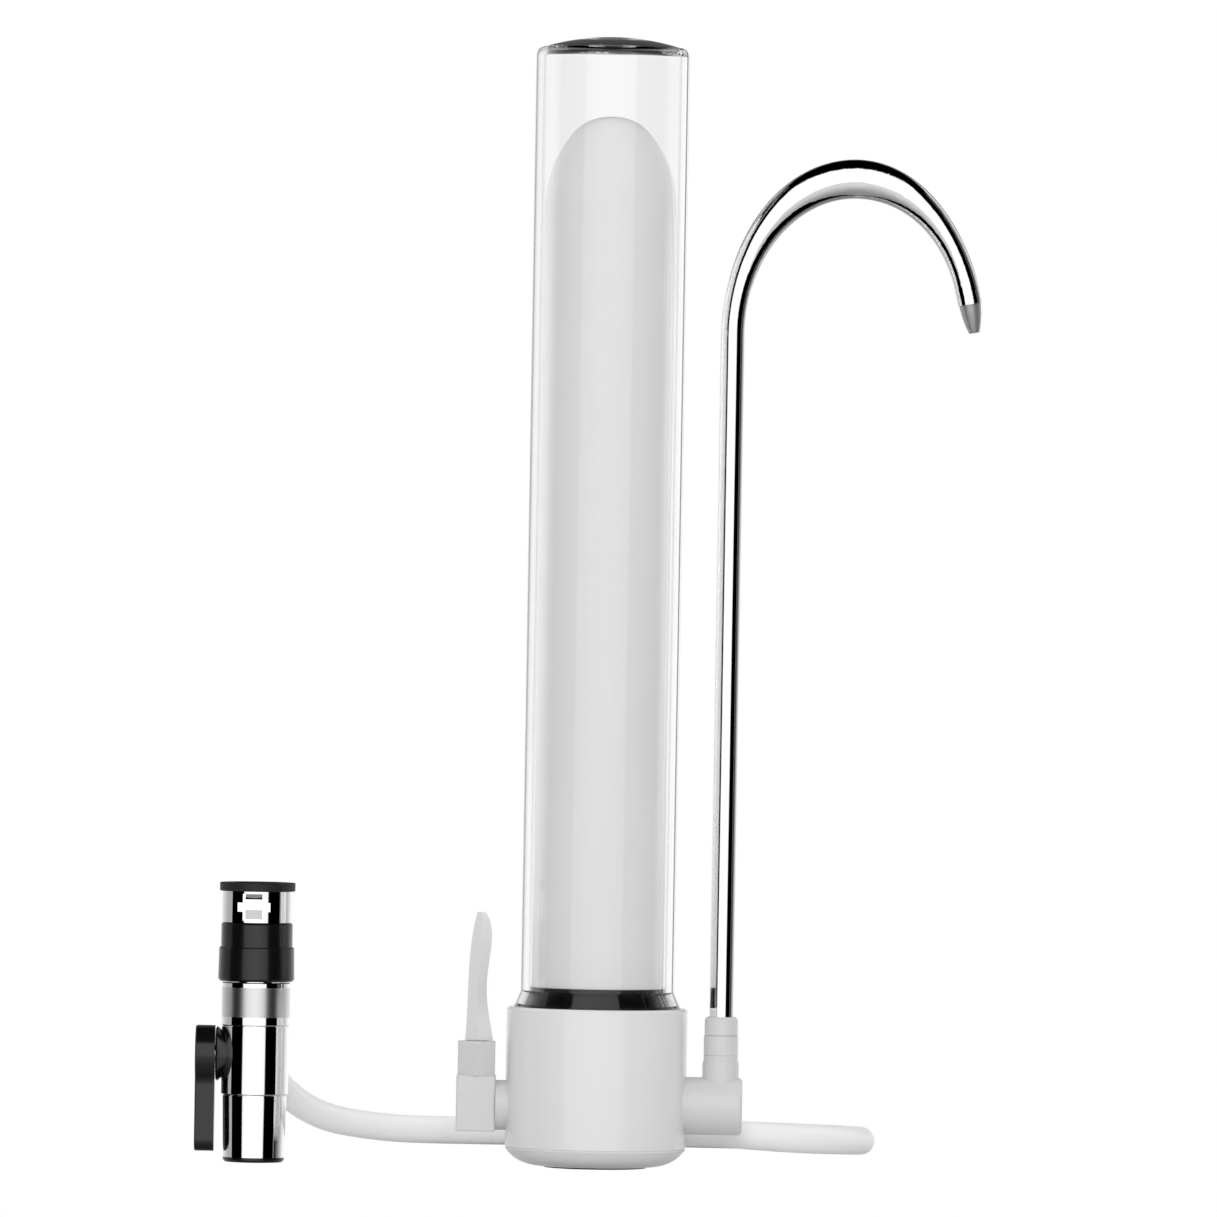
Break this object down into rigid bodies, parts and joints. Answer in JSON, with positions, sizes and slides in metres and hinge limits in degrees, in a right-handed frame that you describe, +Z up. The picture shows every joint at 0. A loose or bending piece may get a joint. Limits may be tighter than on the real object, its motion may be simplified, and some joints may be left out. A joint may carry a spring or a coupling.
{
  "type": "countertop water filter",
  "caption": "Countertop water filter with a ceramic candle in a clear housing, a chrome gooseneck spout, a flush valve and a diverter valve on a white hose.",
  "frame": {"origin": "centre of the filter base on the surface it stands on", "axes": "+Z up along the housing, +X towards the spout, -Y towards the viewer"},
  "size_m": [0.2737, 0.1999, 0.4],
  "materials": {
    "white_plastic": "gloss",
    "clear_plastic": "clear gloss",
    "white_ceramic": "matte",
    "black_plastic": "satin",
    "black_rubber": "matte",
    "chrome": "polished",
    "satin_chrome": "satin",
    "grey_plastic": "matte",
    "white_hose": "satin",
    "steel": "plain"
  },
  "bodies": {
    "base": {"anti_slip_pad": "black_rubber", "base_foot": "white_plastic", "base_body": "white_plastic", "housing_seal": "black_rubber", "filter_candle": "white_ceramic", "candle_end_cap": "black_plastic", "stem_o_rings": "black_rubber", "spigot_o_rings": "black_rubber", "flush_neck_ring": "white_plastic", "flush_valve_body": "white_plastic", "flush_bonnet": "white_plastic", "flush_o_ring": "black_rubber", "outlet_elbow": "white_plastic", "spout_o_rings": "black_rubber", "riser_collar": "white_plastic", "spout_nut": "white_plastic", "inlet_elbow": "white_plastic", "inlet_nut": "white_plastic", "supply_hose": "white_hose", "aerator_insert": "black_plastic", "diverter_outlet": "chrome", "diverter_body": "chrome", "diverter_neck": "chrome", "satin_band": "satin_chrome", "swivel_washer": "black_rubber", "lever_skirt": "black_plastic", "lever_o_ring": "black_rubber", "hose_port": "chrome", "port_nut": "white_plastic"},
    "housing": {"clear_housing": "clear_plastic"},
    "spout": {"spout_tube": "chrome", "spout_nozzle": "grey_plastic", "spout_retainer": "white_plastic"},
    "flush_handle": {"flush_lever": "white_plastic", "flush_stem": "white_plastic"},
    "diverter_handle": {"diverter_lever": "black_plastic", "diverter_stem": "chrome", "lever_screw": "steel"},
    "swivel_nut": {"lower_collar": "black_plastic", "upper_collar": "black_plastic", "faucet_adapter": "chrome", "top_gasket": "black_rubber"}
  },
  "joints": [
    {"name": "housing_lift", "type": "slide", "parent": "base", "child": "housing", "axis": [0, 0, 1], "range_m": [0, 0.34]},
    {"name": "spout_swivel", "type": "hinge", "parent": "base", "child": "spout", "pos_m": [0.044, 0, 0.045], "axis": [0, 0, 1], "range_deg": [-120, 120]},
    {"name": "flush_turn", "type": "hinge", "parent": "base", "child": "flush_handle", "pos_m": [-0.0424, 0, 0.044], "axis": [0, 0, 1], "range_deg": [0, 90]},
    {"name": "diverter_turn", "type": "hinge", "parent": "base", "child": "diverter_handle", "pos_m": [-0.1351, 0, 0.0381], "axis": [-1, 0, 0], "range_deg": [0, 90]},
    {"name": "faucet_nut_turn", "type": "hinge", "parent": "base", "child": "swivel_nut", "pos_m": [-0.1208, 0, 0.08], "axis": [0, 0, 1], "continuous": true}
  ]
}
